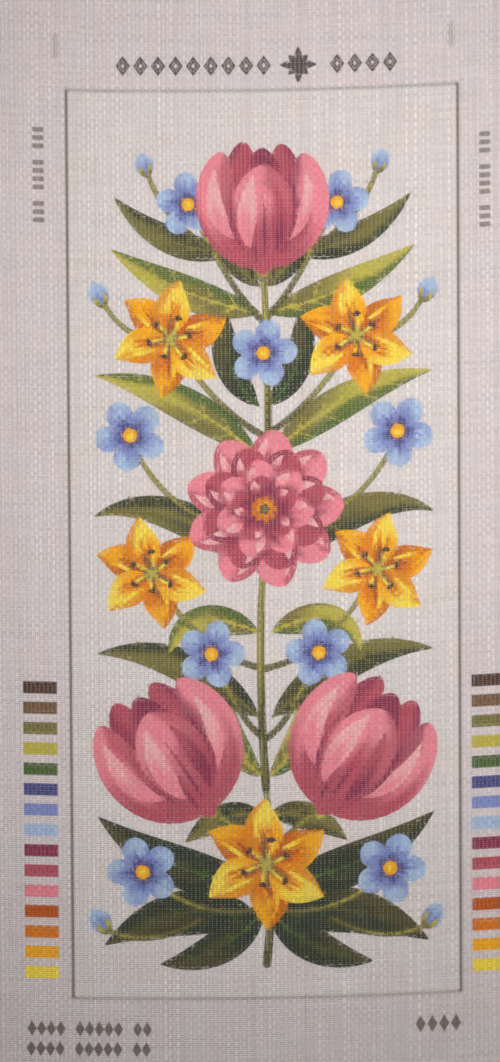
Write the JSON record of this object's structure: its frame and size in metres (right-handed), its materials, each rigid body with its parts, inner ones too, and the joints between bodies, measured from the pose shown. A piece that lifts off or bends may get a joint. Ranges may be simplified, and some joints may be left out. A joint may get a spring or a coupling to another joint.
{
  "type": "needlepoint canvas panel",
  "caption": "Flat rectangular length of open double-thread cotton canvas, printed for stitching, lying face up.",
  "frame": {"origin": "on the surface that the panel lies on, under the middle of its box", "axes": "+X across the width to the right of the print, +Y up the length to the top of the print, +Z out of the printed face"},
  "size_m": [0.3, 0.606, 0.001],
  "materials": {
    "canvas_cotton": "matt open-weave cotton canvas, stiffened, pale beige with printed ink on the upper face"
  },
  "bodies": {
    "root": {"canvas": "canvas_cotton"}
  },
  "joints": []
}
